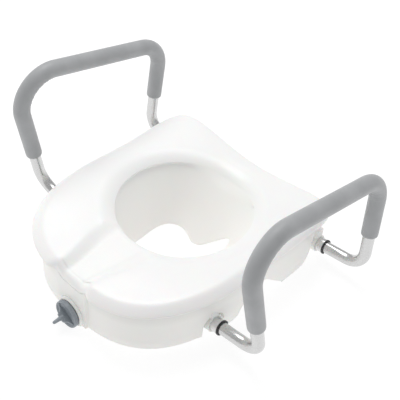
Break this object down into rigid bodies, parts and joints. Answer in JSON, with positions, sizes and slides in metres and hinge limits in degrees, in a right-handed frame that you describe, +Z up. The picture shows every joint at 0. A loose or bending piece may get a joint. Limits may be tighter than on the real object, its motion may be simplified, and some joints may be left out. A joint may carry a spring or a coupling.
{
  "type": "raised toilet seat",
  "caption": "Raised toilet seat: a hollow moulded seat with a screw clamp at the front and two pull-out padded arms.",
  "frame": {"origin": "on the floor at the middle of the whole object's box", "axes": "+Z up, the user sits facing -Y, where the clamp's knob is, +X towards the user's left hand, mirror plane X = 0"},
  "size_m": [0.5854, 0.5028, 0.3135],
  "materials": {
    "seat_plastic": "smooth satin-gloss white moulding",
    "grip_foam": "matt closed-cell foam",
    "arm_aluminium": "bright satin anodised",
    "sleeve_aluminium": "drawn tube, satin",
    "knob_plastic": "moulded, satin",
    "clamp_plastic": "moulded, matt",
    "black_plastic": "moulded, matt",
    "pad_rubber": "matt",
    "foot_rubber": "matt, moulded in the seat's white",
    "screw_steel": "zinc plated",
    "spring_steel": "rolled strip"
  },
  "bodies": {
    "seat": {"seat_shell": "seat_plastic", "rest_pads": "foot_rubber", "hook_screws": "screw_steel", "rail_screws": "screw_steel", "screw_bush": "black_plastic", "rear_hook_left": "clamp_plastic", "rear_hook_right": "clamp_plastic", "clamp_rail_left": "clamp_plastic", "clamp_rail_right": "clamp_plastic", "socket_sleeve_front_left": "sleeve_aluminium", "socket_sleeve_front_right": "sleeve_aluminium", "socket_sleeve_rear_left": "sleeve_aluminium", "socket_sleeve_rear_right": "sleeve_aluminium", "bush_ring_front_left": "black_plastic", "bush_ring_front_right": "black_plastic", "bush_ring_rear_left": "black_plastic", "bush_ring_rear_right": "black_plastic"},
    "knob": {"clamp_knob": "knob_plastic", "lead_screw": "screw_steel", "retaining_clip": "spring_steel"},
    "clamp": {"clamp_block": "clamp_plastic", "clamp_nut": "screw_steel", "clamp_pad": "pad_rubber"},
    "arm_left": {"arm_tube_left": "arm_aluminium", "grip_left": "grip_foam", "tube_plugs_left": "black_plastic", "button_spring_front_left": "spring_steel", "button_spring_rear_left": "spring_steel"},
    "arm_right": {"arm_tube_right": "arm_aluminium", "grip_right": "grip_foam", "tube_plugs_right": "black_plastic", "button_spring_front_right": "spring_steel", "button_spring_rear_right": "spring_steel"},
    "button_front_left": {"snap_button_front_left": "screw_steel"},
    "button_rear_left": {"snap_button_rear_left": "screw_steel"},
    "button_front_right": {"snap_button_front_right": "screw_steel"},
    "button_rear_right": {"snap_button_rear_right": "screw_steel"}
  },
  "joints": [
    {"name": "knob_turn", "type": "hinge", "parent": "seat", "child": "knob", "pos_m": [0, -0.216, 0.0268], "axis": [0, 1, 0], "range_deg": [0, 3150]},
    {"name": "clamp_slide", "type": "slide", "parent": "seat", "child": "clamp", "axis": [0, 1, 0], "range_m": [0, 0.0351]},
    {"name": "left_arm_pull", "type": "slide", "parent": "seat", "child": "arm_left", "axis": [-0.9929, 0, 0.1191], "range_m": [0, 0.11]},
    {"name": "right_arm_pull", "type": "slide", "parent": "seat", "child": "arm_right", "axis": [0.9929, 0, 0.1191], "range_m": [0, 0.11]},
    {"name": "left_front_button_press", "type": "slide", "parent": "arm_left", "child": "button_front_left", "axis": [0, 0, 1], "range_m": [0, 0.0045], "stiffness_N_per_m": 900, "springref_m": -0.003, "deforming": ["button_spring_front_left"]},
    {"name": "left_rear_button_press", "type": "slide", "parent": "arm_left", "child": "button_rear_left", "axis": [0, 0, 1], "range_m": [0, 0.0045], "stiffness_N_per_m": 900, "springref_m": -0.003, "deforming": ["button_spring_rear_left"]},
    {"name": "right_front_button_press", "type": "slide", "parent": "arm_right", "child": "button_front_right", "axis": [0, 0, 1], "range_m": [0, 0.0045], "stiffness_N_per_m": 900, "springref_m": -0.003, "deforming": ["button_spring_front_right"]},
    {"name": "right_rear_button_press", "type": "slide", "parent": "arm_right", "child": "button_rear_right", "axis": [0, 0, 1], "range_m": [0, 0.0045], "stiffness_N_per_m": 900, "springref_m": -0.003, "deforming": ["button_spring_rear_right"]}
  ],
  "couplings": [
    {"joint": "clamp_slide", "follows": "knob_turn", "m_per_rad": 0.00063662}
  ]
}
